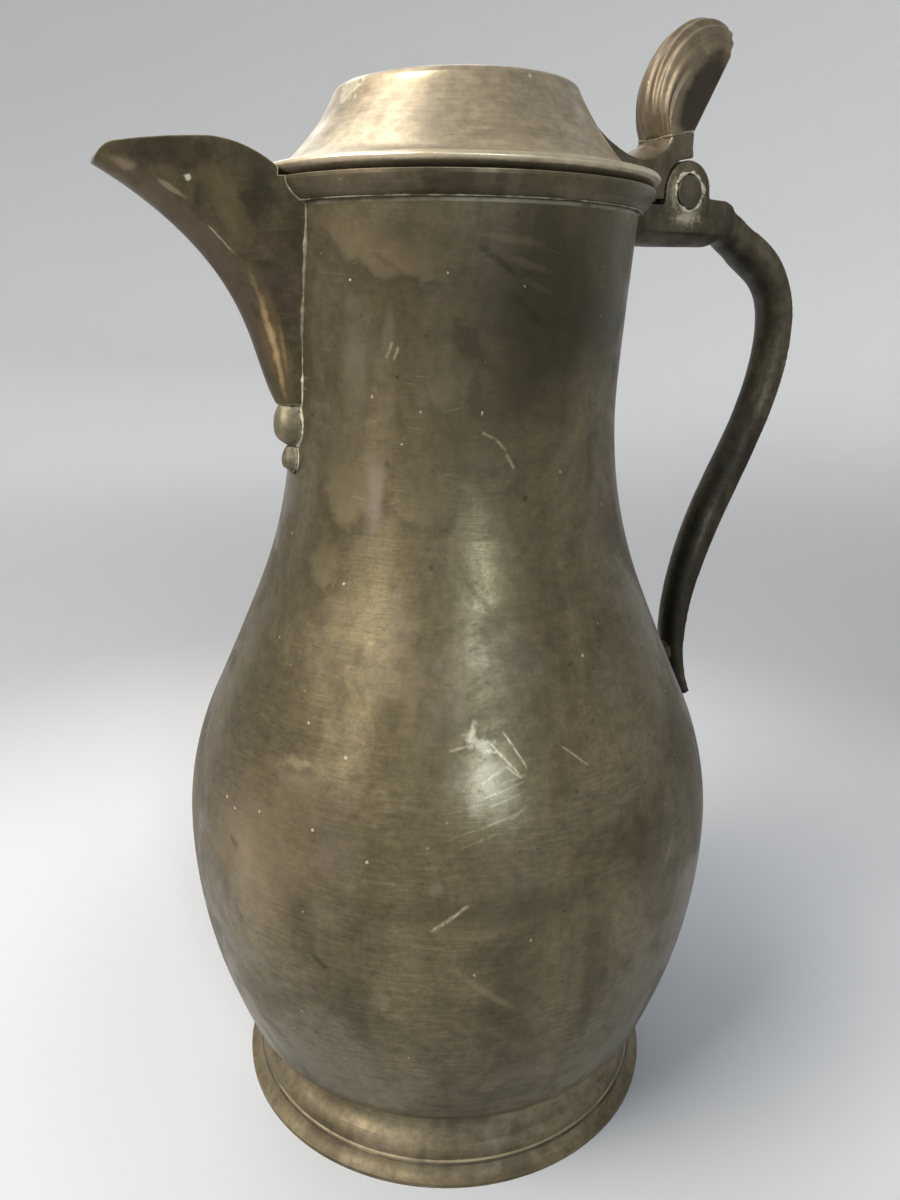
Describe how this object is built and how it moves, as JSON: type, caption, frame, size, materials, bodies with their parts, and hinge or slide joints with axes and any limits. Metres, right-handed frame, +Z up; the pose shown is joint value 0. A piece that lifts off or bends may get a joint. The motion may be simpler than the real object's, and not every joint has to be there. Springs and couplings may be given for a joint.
{
  "type": "lidded pitcher",
  "caption": "Pear-shaped pewter pitcher on a spread foot, with a soldered beak spout, a strap handle and a domed hinged lid lifted by a ribbed shell thumbpiece.",
  "frame": {"origin": "on the body's axis, on the plane that the foot stands on", "axes": "+Z up along the body's axis, +X towards the handle and hinge, so the spout points to -X, turned 5 degrees towards +Y"},
  "size_m": [0.1983, 0.1444, 0.2911],
  "materials": {
    "body_pewter": "satin",
    "foot_pewter": "satin",
    "spout_pewter": "satin",
    "handle_pewter": "satin",
    "pin_pewter": "satin",
    "lid_pewter": "satin",
    "thumbpiece_pewter": "satin"
  },
  "bodies": {
    "vessel": {"foot_ring": "foot_pewter", "base_plate": "body_pewter", "lower_body": "body_pewter", "upper_body": "body_pewter", "mouth_band": "body_pewter", "spout": "spout_pewter", "spout_upper_drop": "spout_pewter", "spout_lower_drop": "spout_pewter", "handle": "handle_pewter", "handle_strut": "handle_pewter", "hinge_pin": "pin_pewter"},
    "lid": {"lid_shell": "lid_pewter", "lid_hinge_lug": "lid_pewter", "thumbpiece": "thumbpiece_pewter"}
  },
  "joints": [
    {"name": "lid_hinge", "type": "hinge", "parent": "vessel", "child": "lid", "pos_m": [0.0686, 0, 0.2475], "axis": [0, 1, 0], "range_deg": [0, 90]}
  ]
}
